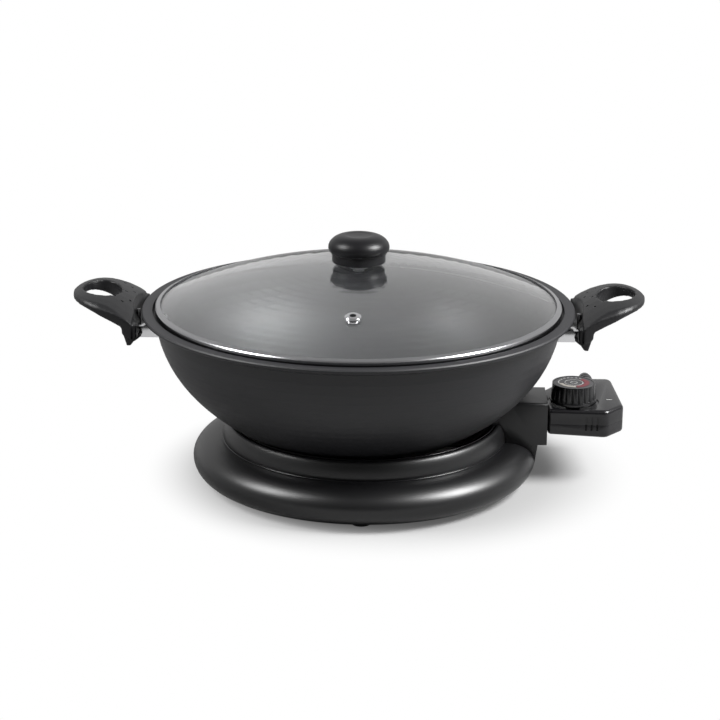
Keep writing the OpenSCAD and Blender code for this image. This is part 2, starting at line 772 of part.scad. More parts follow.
module knob_collar() {
    color(black) difference() {
        rotate_extrude($fn = fine)
            polygon([[0, collar_z], [12, collar_z], [12, collar_z + 1.2], [collar_r - 2.4, collar_z + 1.2],
                     [collar_r - 2.4, collar_z], [collar_r - 0.8, collar_z],
                     [collar_r, collar_z + 0.8], [collar_r, cap_z - 0.4], [collar_r - 0.4, cap_z],
                     [0, cap_z]]);
        translate([0, 0, collar_z - 1]) cylinder(r = screw_r + touch, h = collar_h + 2, $fn = mid);
    }
}

module knob_cap() {
    color(black) difference() {
        rotate_extrude($fn = fine)
            polygon(concat([[0, cap_z], [knob_r - 2.6, cap_z]],
                           arc([knob_r - 7, cap_z + 5.6], 7, 5.6, -50, 0, 5),
                           arc([knob_r - 13, cap_z + 5.6], 13, knob_h - 5.6, 8, 90, 12),
                           [[8, cap_top - 0.4], [0, cap_top - 0.8]]));
        translate([0, 0, cap_z - 1]) cylinder(r = screw_r + 0.02, h = 9, $fn = mid);
    }
}

washer_t = 1.2;
washer_r = 7.5;
under_glass = dome_z(washer_r, glass_t);     // height of the glass's inside at the washer's edge

module knob_washer() {
    color(steel) difference() {
        translate([0, 0, under_glass - washer_t - 0.05])
            cylinder(r = washer_r, h = washer_t, $fn = mid);
        translate([0, 0, under_glass - washer_t - 1])
            cylinder(r = screw_r + touch, h = washer_t + 2, $fn = mid);
    }
}

module knob_screw() {
    color(steel) {
        translate([0, 0, under_glass - washer_t - 0.05])
            cylinder(r = screw_r, h = cap_z + 7 - under_glass + washer_t, $fn = mid);
        translate([0, 0, under_glass - washer_t - 2.85]) difference() {
            cylinder(r1 = 4, r2 = 4.8, h = 2.8, $fn = mid);
            translate([0, 0, -eps]) for (a = [0, 90]) rotate(a)
                translate([-2.6, -0.45, 0]) cube([5.2, 0.9, 1.4]);
        }
    }
}

// ---- thermostat control ----
control_reach = block_end + control_run;
dial_x = block_end + dial_in;
control_in = block_end + seat_gap;
control_rise = 11.6;                    // height of the casing's top above the socket's axis
control_top_z = socket_z + control_rise;
control_z = control_top_z - control_h;
part_z = control_z + 9;               // height of the parting line
guard_x = dial_x + 15.8;
guard_z = control_top_z - 6.4;
corner_r = 6;
recess_r = dial_r + 2.2;
recess_d = 1;
well_t = 1.8;                           // floor of the well under the dial
rib_n = 3;
rib_step = 4.4;
rib_x = control_reach - 31.4;
rib_in = 0.6;                           // how far outside the plan line the grooves end

// the casing's outline seen from above, one corner after another
control_plan = [
    [control_in, -control_front],
    [control_reach - 14, -control_front - 2.5],
    [control_reach, -7],
    [control_reach - 4, control_back],
    [dial_x, control_back],
    [control_in, control_front + 10]
];
plan_corner_r = [3, 7, 6, 6, 5, 3];     // how round each of them is
plan_belly = [0, 1.5, 1.5, 0.5, 0, 0];    // how far the underside hangs down there

// moves every side of an outline inwards by w
function drawn_in(p, w) =
    let (n = len(p))
    [for (i = [0:n - 1])
        let (a = p[(i + n - 1) % n], b = p[i], c = p[(i + 1) % n],
             u = unit(b - a), v = unit(c - b),
             nu = [-u[1], u[0]], nv = [-v[1], v[0]])
        b + (nu + nv) * w / (1 + nu * nv)];

// rounds every corner of an outline
function rounded(p, r, n = 5) =
    let (m = len(p))
    [for (i = [0:m - 1])
        let (a = p[(i + m - 1) % m], b = p[i], c = p[(i + 1) % m],
             u = unit(a - b), v = unit(c - b),
             half = acos(min(1, max(-1, u * v))) / 2,
             reach = min(r / tan(half), 0.45 * min(norm(a - b), norm(c - b))),
             rr = reach * tan(half),
             mid_point = b + unit(u + v) * rr / sin(half),
             s = b + u * reach - mid_point, e = b + v * reach - mid_point,
             a0 = atan2(s[1], s[0]), a1 = atan2(e[1], e[0]),
             sweep = (a1 - a0 + 540) % 360 - 180)
        for (k = [0:n]) mid_point + rr * [cos(a0 + sweep * k / n), sin(a0 + sweep * k / n)]];

// round post with softened edges, a corner of the casing
module corner_post(r, z0, z1) {
    translate([0, 0, z0]) rotate_extrude($fn = 32)
        polygon(concat([[0, 0]], arc([r - control_edge, control_edge], control_edge,
                                     control_edge, -90, 0, 4),
                       arc([r - control_edge, z1 - z0 - control_edge], control_edge,
                           control_edge, 0, 90, 4), [[0, z1 - z0]]));
}

module casing_body() {
    hull() for (k = [0:len(control_plan) - 1]) {
        c = drawn_in(control_plan, plan_corner_r[k])[k];
        translate([c[0], c[1], 0])
            corner_post(plan_corner_r[k], control_z - plan_belly[k], control_top_z);
    }
}

module casing_room(z0, z1) {
    translate([0, 0, z0]) linear_extrude(height = z1 - z0)
        polygon(rounded(drawn_in(control_plan, control_wall), corner_r - control_wall, 3));
}

casing_screws = [[control_reach - 12, -14], [control_reach - 12, control_back - 9],
                 [dial_x + 1, control_back - 9], [control_in + 8, control_front + 2]];

module at_casing_screws() {
    for (p = casing_screws) translate([p[0], p[1], 0]) children();
}

module dial_bore(g, z0, z1) {
    translate([dial_x, 0, z0]) cylinder(r = shaft_r + g, h = z1 - z0, $fn = mid);
}

module nose_seat(g) {
    block_bar(control_in - 1, control_in + 12, nose_w - 4 + g, socket_z + 1 - 6 - g,
              socket_z + 1 + 6 + g, 1);
}

// everything about the casing between two heights
module casing_cut(z0, z1) {
    translate([control_in - 5, -2 * control_back, z0])
        cube([control_run + 10, 4 * control_back, z1 - z0]);
}

// upright grooves that give the fingers a hold when the control is pulled off
module finger_ribs() {
    for (k = [0:rib_n - 1])
        translate([rib_x + rib_step * k, -control_front - 6, part_z - 4.5])
            cube([1.4, 6 - rib_in, 11]);
}

module control_top() {
    color(soft_black) difference() {
        union() {
            difference() {
                casing_body();
                casing_cut(control_z - 10, part_z);
                casing_room(control_z, control_top_z - control_wall);
            }
            intersection() {
                translate([dial_x, 0, control_top_z - recess_d - well_t])
                    cylinder(r = recess_r + well_t, h = well_t + 1, $fn = fine);
                casing_room(control_z, control_top_z - 1);
            }
            intersection() {
                at_casing_screws() translate([0, 0, part_z])
                    cylinder(r = 3.4, h = control_top_z - 1 - part_z, $fn = 24);
                casing_room(control_z, control_top_z);
            }
        }
        at_casing_screws() translate([0, 0, part_z - 1]) cylinder(r = 1.25, h = 8, $fn = 24);
        translate([dial_x, 0, control_top_z - recess_d]) cylinder(r = recess_r, h = 5, $fn = fine);
        dial_bore(0.06, part_z, control_top_z + 1);
        nose_seat(touch);
        guard_root(touch);
        finger_ribs();
    }
}

module control_bottom() {
    color(soft_black) difference() {
        union() {
            difference() {
                casing_body();
                casing_cut(part_z, control_top_z + 10);
                casing_room(control_z + control_wall, control_top_z);
            }
            intersection() {
                at_casing_screws() translate([0, 0, control_z + 1])
                    cylinder(r = 3.4, h = part_z - control_z - 1, $fn = 24);
                casing_room(control_z, part_z);
            }
        }
        at_casing_screws() {
            translate([0, 0, control_z - 1]) cylinder(r = 1.5, h = 20, $fn = 24);
            translate([0, 0, control_z - 1]) cylinder(r = 2.8, h = 3.4, $fn = 24);
        }
        nose_seat(touch);
        guard_root(touch);
        finger_ribs();
    }
}

module control_screws() {
    color(steel) at_casing_screws() {
        translate([0, 0, control_z + 0.8]) cylinder(r = 2.6, h = 1.6, $fn = 24);
        translate([0, 0, control_z + 2.4]) cylinder(r = 1.2, h = 12, $fn = 24);
    }
}

sleeve_r = 2.8;

// heat-proof block that enters the socket and holds the contacts
module plug_nose() {
    color("#3b2f2a") difference() {
        union() {
            block_bar(nose_in, control_in, nose_w, socket_z + 1 - nose_h / 2,
                      socket_z + 1 + nose_h / 2, 1.5);
            block_bar(control_in - eps, control_in + 8, nose_w - 4, socket_z + 1 - 6,
                      socket_z + 1 + 6, 1);
        }
        for (s = [-1, 1]) along_x(sleeve_r + 0.05, nose_in - eps, control_in + 9,
                                  s * pin_y, socket_z);
        along_x(probe_r + 0.05, nose_in - eps, control_in + 9, 0, socket_z);
    }
}

module contact_sleeves() {
    color(brass) for (s = [-1, 1]) difference() {
        along_x(sleeve_r, nose_in + 1, control_in + 12, s * pin_y, socket_z);
        along_x(pin_r + seat_gap, nose_in, pin_end + 3, s * pin_y, socket_z);
    }
}

switch_x = control_in + 16;
switch_l = control_run - 31;

module temperature_probe() {
    color(steel) {
        along_x(probe_r, probe_tip + probe_r, switch_x, 0, socket_z);
        translate([probe_tip + probe_r, 0, socket_z]) sphere(r = probe_r, $fn = mid);
    }
}

shaft_r = 3;
shaft_low = control_top_z - control_wall - 4;
switch_top = shaft_low - seat_gap;

// snap switch and its mounting plate, worked by the probe and the dial's shaft
module thermostat_switch() {
    color("#7c5a3c") {
        translate([switch_x, -8, control_z + control_wall]) cube([switch_l, 16, 4]);
        translate([switch_x, -6, control_z + control_wall + 4])
            cube([switch_l - 8, 12, switch_top - control_z - control_wall - 4]);
    }
}

guard_l = 19;
guard_r = 6.4;
guard_neck_r = 4.4;                     // where it passes through the casing's wall
guard_flange_r = 5.2;                   // flange that holds the guard inside the casing
cord_r = 3.5;

module guard_root(g) {
    translate([guard_x, control_back - 8, guard_z]) rotate([-90, 0, 0]) {
        cylinder(r = guard_neck_r + g, h = 12, $fn = mid);
        translate([0, 0, -g])
            cylinder(r = guard_flange_r + g, h = 8 - control_wall + 2 * g - 0.2, $fn = mid);
    }
}

// short ribbed guard where the lead leaves the casing
module cord_guard() {
    color(black) translate([guard_x, control_back, guard_z]) rotate([-90, 0, 0]) difference() {
        rotate_extrude($fn = mid) polygon([
            [0, -3.4], [guard_flange_r, -3.4], [guard_flange_r, -control_wall - 0.1],
            [guard_neck_r, -control_wall - 0.1],
            [guard_neck_r, 0.1], [guard_r, 0.1], [guard_r, 4], [guard_r - 0.9, 4.3],
            [guard_r - 0.9, 6], [guard_r - 0.2, 6.3], [guard_r - 0.2, 9], [guard_r - 1.1, 9.3],
            [guard_r - 1.1, 11], [guard_r - 0.5, 11.3], [guard_r - 0.5, 14], [guard_r - 1.3, 14.3],
            [guard_r - 1.4, guard_l], [0, guard_l]]);
        translate([0, 0, -5]) cylinder(r = cord_r, h = guard_l + 6, $fn = mid);
    }
}

// ---- dial ----
hub_z = control_top_z - recess_d + seat_gap;    // where the dial's hub ends over the well
dial_z = control_top_z + 0.9;
dial_top = dial_z + dial_h;
flange_h = 2;
dial_neck_r = dial_r - 1.3;
hub_r = shaft_r + 2.4;

module dial() {
    color(black) difference() {
        union() {
            translate([dial_x, 0, dial_z]) cylinder(r = dial_r, h = flange_h, $fn = fine);
            translate([dial_x, 0, hub_z]) cylinder(r = hub_r, h = dial_h / 2, $fn = mid);
            translate([dial_x, 0, dial_z + flange_h])
                cylinder(r1 = dial_r - 0.5, r2 = dial_neck_r, h = dial_h - flange_h, $fn = fine);
        }
        for (k = [0:dial_flutes - 1]) translate([dial_x, 0, dial_z + flange_h + 0.8])
            rotate(360 * k / dial_flutes) translate([dial_r + 0.2, 0, 0])
                cylinder(r = 1.6, h = dial_h, $fn = 16);
        translate([dial_x, 0, dial_top - 0.8])
            cylinder(r = dial_neck_r - 1.6, h = 2, $fn = fine);
        translate([dial_x, 0, dial_z - eps]) difference() {
            cylinder(r = dial_neck_r - 2.6, h = dial_h - 3, $fn = fine);
            cylinder(r = hub_r, h = dial_h, $fn = mid);
        }
        translate([dial_x, 0, hub_z - eps])
            cylinder(r = shaft_r + 0.05, h = dial_top - 3 - hub_z, $fn = mid);
    }
}

// plain disc that carries the printed scale
module dial_face() {
    color("#77787c") translate([dial_x, 0, dial_top - 0.8])
        cylinder(r = dial_neck_r - 1.6 - touch, h = 0.6, $fn = fine);
}

module dial_shaft() {
    color(steel) translate([dial_x, 0, shaft_low])
        cylinder(r = shaft_r, h = dial_top - 3.2 - shaft_low, $fn = mid);
}

pan();
heating_element();
terminal_pins();
pin_insulators();
terminal_plate();
bracket_left();
bracket_right();
bracket_rivets_left();
bracket_rivets_right();
handle_left();
handle_right();
handle_screw_left();
handle_screw_right();
base_shell();
bottom_cover();
heat_shield();
pan_screws();
cover_screws();
foot_front();
foot_back();
foot_left();
foot_right();
socket_block();
socket_screws();
lid_glass();
lid_band();
vent_eyelet();
knob_cap();
knob_collar();
knob_gasket();
knob_washer();
knob_screw();
control_top();
control_bottom();
plug_nose();
contact_sleeves();
temperature_probe();
thermostat_switch();
control_screws();
cord_guard();
dial();
dial_face();
dial_shaft();
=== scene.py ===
import json
import math

import bpy
from mathutils import Matrix, Vector

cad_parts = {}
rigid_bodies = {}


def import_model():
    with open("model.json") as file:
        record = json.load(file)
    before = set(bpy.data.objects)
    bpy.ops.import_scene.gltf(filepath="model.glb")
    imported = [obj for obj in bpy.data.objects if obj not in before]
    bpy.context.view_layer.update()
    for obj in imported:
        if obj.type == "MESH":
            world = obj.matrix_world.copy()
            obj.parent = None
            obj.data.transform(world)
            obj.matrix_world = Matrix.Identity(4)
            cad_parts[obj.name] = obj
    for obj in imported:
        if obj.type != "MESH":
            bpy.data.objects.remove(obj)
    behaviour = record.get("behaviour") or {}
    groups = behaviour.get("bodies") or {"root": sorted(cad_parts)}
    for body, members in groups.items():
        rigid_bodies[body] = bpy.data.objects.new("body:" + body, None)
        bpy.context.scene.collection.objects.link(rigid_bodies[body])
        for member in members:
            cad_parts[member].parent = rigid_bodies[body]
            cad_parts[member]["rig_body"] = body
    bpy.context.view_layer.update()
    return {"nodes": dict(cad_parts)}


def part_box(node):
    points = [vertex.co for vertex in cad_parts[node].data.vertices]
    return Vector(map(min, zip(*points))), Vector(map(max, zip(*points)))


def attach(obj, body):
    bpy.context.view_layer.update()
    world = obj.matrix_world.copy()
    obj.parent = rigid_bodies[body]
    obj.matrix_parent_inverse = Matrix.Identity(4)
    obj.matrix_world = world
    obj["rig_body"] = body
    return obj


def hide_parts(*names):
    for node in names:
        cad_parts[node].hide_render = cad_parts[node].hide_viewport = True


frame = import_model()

# camera
# the photograph was taken from about 1.6 m away, looking 17 degrees down and a
# little from the right of the handles' square front
cameraLook = {
    "distance": 1.617,
    "turn": 0.021,
    "pitch": 0.3028,
    "roll": 0.006,
    "target": (0.0014, 0.0, 0.0941),
    "focal": 101.85,
    "sensor": 36.0,
}


def placeCamera(look):
    turn = Matrix.Rotation(look["turn"], 3, "Z")
    back = turn @ Vector((0, -math.cos(look["pitch"]), math.sin(look["pitch"])))
    back *= look["distance"]
    bpy.ops.object.camera_add(location=Vector(look["target"]) + back)
    camera = bpy.context.object
    camera.name = "photoCamera"
    camera.data.sensor_width = look["sensor"]
    camera.data.lens = look["focal"]
    tilt = Matrix.Rotation(math.pi / 2 - look["pitch"], 3, "X")
    roll = Matrix.Rotation(look["roll"], 3, "Z")
    camera.rotation_euler = (turn @ tilt @ roll).to_euler()
    bpy.context.scene.camera = camera


placeCamera(cameraLook)
print("camera placed")

# node helpers


def newTree(name):
    mat = bpy.data.materials.new(name)
    mat.use_nodes = True
    mat.node_tree.nodes.clear()
    return mat, mat.node_tree


def addNode(tree, kind, place=(0, 0), **settings):
    node = tree.nodes.new(kind)
    node.location = place
    for key, value in settings.items():
        setattr(node, key, value)
    return node


def link(tree, output, taker):
    tree.links.new(output, taker)


# soft step from one value to another between two distances
def softStep(tree, place, start, full, least=0.0, most=1.0):
    step = addNode(tree, "ShaderNodeMapRange", place, interpolation_type="SMOOTHSTEP")
    step.inputs["From Min"].default_value = start
    step.inputs["From Max"].default_value = full
    step.inputs["To Min"].default_value = least
    step.inputs["To Max"].default_value = most
    return step


# 1 for what the camera sees, straight on or through the glass, and 0 for the rest
def seenMask(tree, place):
    path = addNode(tree, "ShaderNodeLightPath", (place[0] - 200, place[1]))
    seen = addNode(tree, "ShaderNodeMath", place, operation="MAXIMUM")
    link(tree, path.outputs["Is Camera Ray"], seen.inputs[0])
    link(tree, path.outputs["Is Transmission Ray"], seen.inputs[1])
    return seen.outputs[0]


def newGroup(name, inputs, outputs):
    group = bpy.data.node_groups.new(name, "ShaderNodeTree")
    for label, kind, value in inputs:
        socket = group.interface.new_socket(label, in_out="INPUT", socket_type=kind)
        socket.default_value = value
    for label, kind in outputs:
        group.interface.new_socket(label, in_out="OUTPUT", socket_type=kind)
    return group, group.nodes.new("NodeGroupInput"), group.nodes.new("NodeGroupOutput")


# fine leather-like texture of a moulded plastic, with slow patches of handling
def mouldGrainGroup():
    group, gin, gout = newGroup(
        "mouldGrain",
        [("Scale", "NodeSocketFloat", 900.0), ("Depth", "NodeSocketFloat", 0.12),
         ("Shine", "NodeSocketFloat", 0.4), ("Patches", "NodeSocketFloat", 0.06)],
        [("Shade", "NodeSocketFloat"), ("Roughness", "NodeSocketFloat"),
         ("Normal", "NodeSocketVector")])
    coords = addNode(group, "ShaderNodeTexCoord", (-1100, 0))
    grain = addNode(group, "ShaderNodeTexVoronoi", (-800, 120), feature="SMOOTH_F1")
    grain.inputs["Smoothness"].default_value = 0.6
    fine = addNode(group, "ShaderNodeTexNoise", (-800, -160))
    fine.inputs["Detail"].default_value = 3.0
    slow = addNode(group, "ShaderNodeTexNoise", (-800, -420))
    slow.inputs["Scale"].default_value = 22.0
    slow.inputs["Detail"].default_value = 4.0
    slow.inputs["Roughness"].default_value = 0.6
    link(group, coords.outputs["Object"], grain.inputs["Vector"])
    link(group, coords.outputs["Object"], fine.inputs["Vector"])
    link(group, coords.outputs["Object"], slow.inputs["Vector"])
    link(group, gin.outputs["Scale"], grain.inputs["Scale"])
    link(group, gin.outputs["Scale"], fine.inputs["Scale"])
    bothHeights = addNode(group, "ShaderNodeMath", (-560, 60), operation="MULTIPLY_ADD")
    bothHeights.inputs[1].default_value = 0.7
    link(group, grain.outputs["Distance"], bothHeights.inputs[0])
    link(group, fine.outputs["Fac"], bothHeights.inputs[2])
    bump = addNode(group, "ShaderNodeBump", (-320, 60))
    bump.inputs["Distance"].default_value = 0.0002
    link(group, bothHeights.outputs[0], bump.inputs["Height"])
    link(group, gin.outputs["Depth"], bump.inputs["Strength"])
    centred = addNode(group, "ShaderNodeMath", (-560, -400), operation="SUBTRACT")
    centred.inputs[1].default_value = 0.5
    link(group, slow.outputs["Fac"], centred.inputs[0])
    swing = addNode(group, "ShaderNodeMath", (-380, -400), operation="MULTIPLY")
    link(group, centred.outputs[0], swing.inputs[0])
    link(group, gin.outputs["Patches"], swing.inputs[1])
    rough = addNode(group, "ShaderNodeMath", (-180, -300), operation="ADD", use_clamp=True)
    link(group, gin.outputs["Shine"], rough.inputs[0])
    link(group, swing.outputs[0], rough.inputs[1])
    shade = addNode(group, "ShaderNodeMath", (-180, -480), operation="MULTIPLY_ADD")
    shade.inputs[1].default_value = 3.0
    shade.inputs[2].default_value = 1.0
    link(group, swing.outputs[0], shade.inputs[0])
    link(group, shade.outputs[0], gout.inputs["Shade"])
    link(group, rough.outputs[0], gout.inputs["Roughness"])
    link(group, bump.outputs["Normal"], gout.inputs["Normal"])
    return group


# fine concentric lines of spun or turned metal about an upright axis
def turnedLinesGroup():
    group, gin, gout = newGroup(
        "turnedLines",
        [("Scale", "NodeSocketFloat", 2500.0), ("Shine", "NodeSocketFloat", 0.2),
         ("Swing", "NodeSocketFloat", 0.1), ("Depth", "NodeSocketFloat", 0.05)],
        [("Roughness", "NodeSocketFloat"), ("Shade", "NodeSocketFloat"),
         ("Normal", "NodeSocketVector")])
    coords = addNode(group, "ShaderNodeTexCoord", (-1300, 0))
    parts = addNode(group, "ShaderNodeSeparateXYZ", (-1120, 0))
    flat = addNode(group, "ShaderNodeCombineXYZ", (-940, 60))
    reach = addNode(group, "ShaderNodeVectorMath", (-760, 60), operation="LENGTH")
    line = addNode(group, "ShaderNodeCombineXYZ", (-580, 60))
    link(group, coords.outputs["Object"], parts.inputs[0])
    link(group, parts.outputs["X"], flat.inputs["X"])
    link(group, parts.outputs["Y"], flat.inputs["Y"])
    link(group, flat.outputs[0], reach.inputs[0])
    link(group, reach.outputs["Value"], line.inputs["X"])
    link(group, parts.outputs["Z"], line.inputs["Y"])
    lines = addNode(group, "ShaderNodeTexNoise", (-400, 60))
    lines.inputs["Detail"].default_value = 2.0
    link(group, line.outputs[0], lines.inputs["Vector"])
    link(group, gin.outputs["Scale"], lines.inputs["Scale"])
    centred = addNode(group, "ShaderNodeMath", (-200, 60), operation="SUBTRACT")
    centred.inputs[1].default_value = 0.5
    link(group, lines.outputs["Fac"], centred.inputs[0])
    rough = addNode(group, "ShaderNodeMath", (0, 60), operation="MULTIPLY_ADD", use_clamp=True)
    link(group, centred.outputs[0], rough.inputs[0])
    link(group, gin.outputs["Swing"], rough.inputs[1])
    link(group, gin.outputs["Shine"], rough.inputs[2])
    shade = addNode(group, "ShaderNodeMath", (0, -120), operation="MULTIPLY_ADD")
    shade.inputs[1].default_value = 0.15
    shade.inputs[2].default_value = 1.0
    link(group, centred.outputs[0], shade.inputs[0])
    bump = addNode(group, "ShaderNodeBump", (0, -280))
    bump.inputs["Distance"].default_value = 0.0001
    link(group, lines.outputs["Fac"], bump.inputs["Height"])
    link(group, gin.outputs["Depth"], bump.inputs["Strength"])
    link(group, rough.outputs[0], gout.inputs["Roughness"])
    link(group, shade.outputs[0], gout.inputs["Shade"])
    link(group, bump.outputs["Normal"], gout.inputs["Normal"])
    return group


mouldGrain = mouldGrainGroup()
turnedLines = turnedLinesGroup()


def useGroup(tree, group, values, place):
    node = addNode(tree, "ShaderNodeGroup", place, node_tree=group)
    for key, value in values.items():
        node.inputs[key].default_value = value
    return node


def principled(tree, settings):
    shader = addNode(tree, "ShaderNodeBsdfPrincipled", (300, 0))
    out = addNode(tree, "ShaderNodeOutputMaterial", (620, 0))
    link(tree, shader.outputs[0], out.inputs["Surface"])
    for key, value in settings.items():
        shader.inputs[key].default_value = value
    return shader


# one colour scaled by a group's Shade
def shadedColour(tree, colour, shade, shader):
    tint = addNode(tree, "ShaderNodeVectorMath", (80, 160), operation="SCALE")
    tint.inputs[0].default_value = colour
    link(tree, shade, tint.inputs["Scale"])
    link(tree, tint.outputs[0], shader.inputs["Base Color"])


def surfaceMaterial(name, colour, group, values, settings):
    mat, tree = newTree(name)
    shader = principled(tree, settings)
    surface = useGroup(tree, group, values, (-200, 0))
    shadedColour(tree, colour, surface.outputs["Shade"], shader)
    link(tree, surface.outputs["Roughness"], shader.inputs["Roughness"])
    link(tree, surface.outputs["Normal"], shader.inputs["Normal"])
    mat.diffuse_color = (*colour, 1)
    return mat


def mouldedMaterial(name, colour, grain, settings=None):
    return surfaceMaterial(name, colour, mouldGrain, grain, settings or {})


def turnedMaterial(name, colour, lines):
    return surfaceMaterial(name, colour, turnedLines, lines, {"Metallic": 1.0})


glassLook = {
    "tint": (0.82, 0.825, 0.825),
    "lampTint": (0.93, 0.95, 0.95),
    "bending": 1.5,
    "smearScale": 14.0,
    "smearMost": 0.035,
}


# clear glass that lets lamp light through to what it covers
def clearGlassMaterial(name, look):
    mat, tree = newTree(name)
    shader = principled(tree, {"Base Color": (*look["tint"], 1), "Transmission Weight": 1.0,
                               "IOR": look["bending"], "Metallic": 0.0})
    smears = addNode(tree, "ShaderNodeTexNoise", (-420, -200))
    smears.inputs["Scale"].default_value = look["smearScale"]
    smears.inputs["Detail"].default_value = 5.0
    coords = addNode(tree, "ShaderNodeTexCoord", (-620, -200))
    link(tree, coords.outputs["Object"], smears.inputs["Vector"])
    span = addNode(tree, "ShaderNodeMapRange", (-200, -200))
    span.inputs["To Min"].default_value = 0.0
    span.inputs["To Max"].default_value = look["smearMost"]
    link(tree, smears.outputs["Fac"], span.inputs["Value"])
    link(tree, span.outputs[0], shader.inputs["Roughness"])
    path = addNode(tree, "ShaderNodeLightPath", (300, 320))
    clear = addNode(tree, "ShaderNodeBsdfTransparent", (300, -420))
    clear.inputs["Color"].default_value = (*look["lampTint"], 1)
    both = addNode(tree, "ShaderNodeMixShader", (620, 160))
    out = next(n for n in tree.nodes if n.type == "OUTPUT_MATERIAL")
    out.location = (840, 0)
    link(tree, path.outputs["Is Shadow Ray"], both.inputs[0])
    link(tree, shader.outputs[0], both.inputs[1])
    link(tree, clear.outputs[0], both.inputs[2])
    link(tree, both.outputs[0], out.inputs["Surface"])
    return mat


# finishes
finishes = {
    "panCoating": {"colour": (0.0050, 0.0050, 0.0064), "shine": 0.50, "gloss": 0.44},
    "baseMoulding": {"colour": (0.0030, 0.0030, 0.0034), "shine": 0.36, "gloss": 0.5},
    "handleMoulding": {"colour": (0.0038, 0.0038, 0.0044), "shine": 0.44, "gloss": 0.32},
    "controlMoulding": {"colour": (0.0036, 0.0034, 0.0042), "shine": 0.26, "gloss": 0.5},
    "dialMoulding": {"colour": (0.0040, 0.0040, 0.0046), "shine": 0.24, "gloss": 0.45},
    "knobMoulding": {"colour": (0.0040, 0.0038, 0.0046), "shine": 0.36, "gloss": 0.25},
}


def finishMaterial(name, scale, depth, patches):
    look = finishes[name]
    return mouldedMaterial(name, look["colour"],
                           {"Scale": scale, "Depth": depth, "Shine": look["shine"],
                            "Patches": patches}, {"Specular IOR Level": look["gloss"]})


matPan = finishMaterial("panCoating", 1500.0, 0.25, 0.05)
matBase = finishMaterial("baseMoulding", 1400.0, 0.1, 0.05)
matHandle = finishMaterial("handleMoulding", 1100.0, 0.25, 0.08)
matControl = finishMaterial("controlMoulding", 1200.0, 0.15, 0.06)
matBead = mouldedMaterial("beadGloss", (0.006, 0.006, 0.007),
                          {"Scale": 1400.0, "Depth": 0.04, "Shine": 0.2, "Patches": 0.04})
matKnob = finishMaterial("knobMoulding", 1500.0, 0.05, 0.04)
matDial = finishMaterial("dialMoulding", 1500.0, 0.06, 0.04)
matDialFace = mouldedMaterial("dialFace", (0.025, 0.025, 0.027),
                              {"Scale": 1500.0, "Depth": 0.05, "Shine": 0.4, "Patches": 0.05})
matPhenolic = mouldedMaterial("phenolicBrown", (0.035, 0.02, 0.013),
                              {"Scale": 700.0, "Depth": 0.25, "Shine": 0.5, "Patches": 0.1})
matRubber = mouldedMaterial("footRubber", (0.014, 0.014, 0.014),
                            {"Scale": 900.0, "Depth": 0.3, "Shine": 0.75, "Patches": 0.1})
matSilicone = mouldedMaterial("greySilicone", (0.05, 0.05, 0.052),
                              {"Scale": 900.0, "Depth": 0.1, "Shine": 0.55, "Patches": 0.06})
matCeramic = mouldedMaterial("steatite", (0.72, 0.68, 0.58),
                             {"Scale": 800.0, "Depth": 0.2, "Shine": 0.6, "Patches": 0.08})
matPolished = turnedMaterial("polishedSteel", (0.62, 0.62, 0.63),
                             {"Scale": 900.0, "Shine": 0.14, "Swing": 0.06, "Depth": 0.03})
matBand = turnedMaterial("bandSteel", (0.36, 0.36, 0.37),
                         {"Scale": 900.0, "Shine": 0.2, "Swing": 0.08, "Depth": 0.03})
matSteel = turnedMaterial("plainSteel", (0.55, 0.55, 0.56),
                          {"Scale": 1400.0, "Shine": 0.34, "Swing": 0.16, "Depth": 0.08})
matElement = turnedMaterial("elementSheath", (0.20, 0.195, 0.19),
                            {"Scale": 600.0, "Shine": 0.48, "Swing": 0.2, "Depth": 0.1})
matShield = turnedMaterial("shieldAluminium", (0.72, 0.73, 0.74),
                           {"Scale": 1800.0, "Shine": 0.3, "Swing": 0.14, "Depth": 0.08})
matBrass = turnedMaterial("contactBrass", (0.66, 0.47, 0.2),
                          {"Scale": 1400.0, "Shine": 0.25, "Swing": 0.12, "Depth": 0.05})
matGlass = clearGlassMaterial("lidGlass", glassLook)

nodeFinish = {
    "pan": matPan, "heating_element": matElement, "terminal_pins": matBrass,
    "pin_insulators": matCeramic, "terminal_plate": matSteel,
    "bracket_left": matPolished, "bracket_right": matPolished,
    "bracket_rivets_left": matSteel, "bracket_rivets_right": matSteel,
    "handle_left": matHandle, "handle_right": matHandle,
    "handle_screw_left": matSteel, "handle_screw_right": matSteel,
    "base_shell": matBase, "bottom_cover": matBase, "heat_shield": matShield,
    "pan_screws": matSteel, "cover_screws": matSteel,
    "foot_front": matRubber, "foot_back": matRubber, "foot_left": matRubber,
    "foot_right": matRubber, "socket_block": matBase, "socket_screws": matSteel,
    "lid_glass": matGlass, "lid_band": matBand, "vent_eyelet": matPolished,
    "knob_cap": matKnob, "knob_collar": matKnob, "knob_gasket": matSilicone,
    "knob_washer": matSteel, "knob_screw": matSteel,
    "control_top": matControl, "control_bottom": matControl, "plug_nose": matPhenolic,
    "contact_sleeves": matBrass, "temperature_probe": matPolished,
    "thermostat_switch": matPhenolic, "control_screws": matSteel, "cord_guard": matControl,
    "dial": matDial, "dial_face": matDialFace, "dial_shaft": matSteel,
}


def dressNode(name, mat):
    mesh = frame["nodes"][name].data
    mesh.materials.clear()
    mesh.materials.append(mat)


for name, mat in nodeFinish.items():
    dressNode(name, mat)
print("finishes on", len(nodeFinish), "nodes")

# modelling helpers
meshing = {
    "sealReach": 0.000002,
    # corners of a CAD copy this close are one, and faces this near to level are joined
    "mergeReach": 0.000004,
    "levelAngle": 0.6,
}


def deselectAll():
    if bpy.context.object and bpy.context.object.mode != "OBJECT":
        bpy.ops.object.mode_set(mode="OBJECT")
    bpy.ops.object.select_all(action="DESELECT")


def pickOnly(obj):
    deselectAll()
    obj.select_set(True)
    bpy.context.view_layer.objects.active = obj


